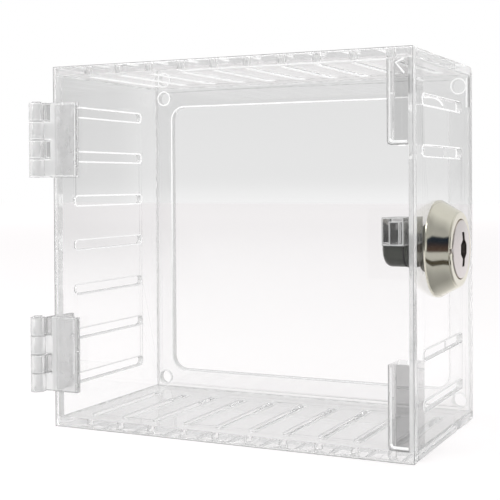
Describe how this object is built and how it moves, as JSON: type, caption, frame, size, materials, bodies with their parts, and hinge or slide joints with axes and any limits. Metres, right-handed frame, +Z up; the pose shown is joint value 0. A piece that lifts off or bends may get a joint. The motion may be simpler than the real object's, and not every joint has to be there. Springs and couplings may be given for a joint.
{
  "type": "thermostat lock box",
  "caption": "Clear wall-mounted lock box that goes over a thermostat: slotted case with an open back, side-hinged front door, and a cam lock with a hook and catch on the side.",
  "frame": {"origin": "middle of the wall screw pattern, on the rear face of the case that lies on the wall", "axes": "+X to the right as seen from the front, +Y into the wall, +Z up"},
  "size_m": [0.1693, 0.0846, 0.145],
  "materials": {
    "clear_acrylic": "clear cast acrylic sheet with polished faces and laser-cut edges",
    "hinge_plastic": "clear moulded acrylic, slightly greyer than the sheet",
    "satin_nickel": "turned and polished warm nickel plate",
    "polished_nickel": "polished nickel plate",
    "dark_zinc": "dark grey die-cast zinc",
    "zinc_steel": "zinc-plated steel",
    "brass": "stamped brass",
    "black_steel": "blackened spring steel"
  },
  "bodies": {
    "case": {"top_panel": "clear_acrylic", "bottom_panel": "clear_acrylic", "left_panel": "clear_acrylic", "right_panel": "clear_acrylic", "back_panel": "clear_acrylic", "upper_stop_block": "clear_acrylic", "lower_stop_block": "clear_acrylic", "upper_hinge_wall_leaf": "hinge_plastic", "lower_hinge_wall_leaf": "hinge_plastic", "upper_hinge_pin": "hinge_plastic", "lower_hinge_pin": "hinge_plastic", "lock_bezel": "satin_nickel", "lock_housing": "dark_zinc", "lock_washer": "zinc_steel", "lock_nut": "dark_zinc"},
    "door": {"door_panel": "clear_acrylic", "door_catch": "clear_acrylic", "upper_hinge_door_leaf": "hinge_plastic", "lower_hinge_door_leaf": "hinge_plastic"},
    "lock_core": {"lock_plug": "polished_nickel", "dust_shutter": "black_steel", "lock_wafers": "brass", "lock_cam": "dark_zinc", "cam_cap": "dark_zinc", "cam_spring_washer": "zinc_steel", "cam_screw": "zinc_steel"}
  },
  "joints": [
    {"name": "door_hinge", "type": "hinge", "parent": "case", "child": "door", "pos_m": [-0.0806, -0.0816, 0], "axis": [0, 0, -1], "range_deg": [0, 180]},
    {"name": "lock_turn", "type": "hinge", "parent": "case", "child": "lock_core", "pos_m": [0.076, -0.048, 0.0007], "axis": [-1, 0, 0], "range_deg": [0, 180]}
  ]
}
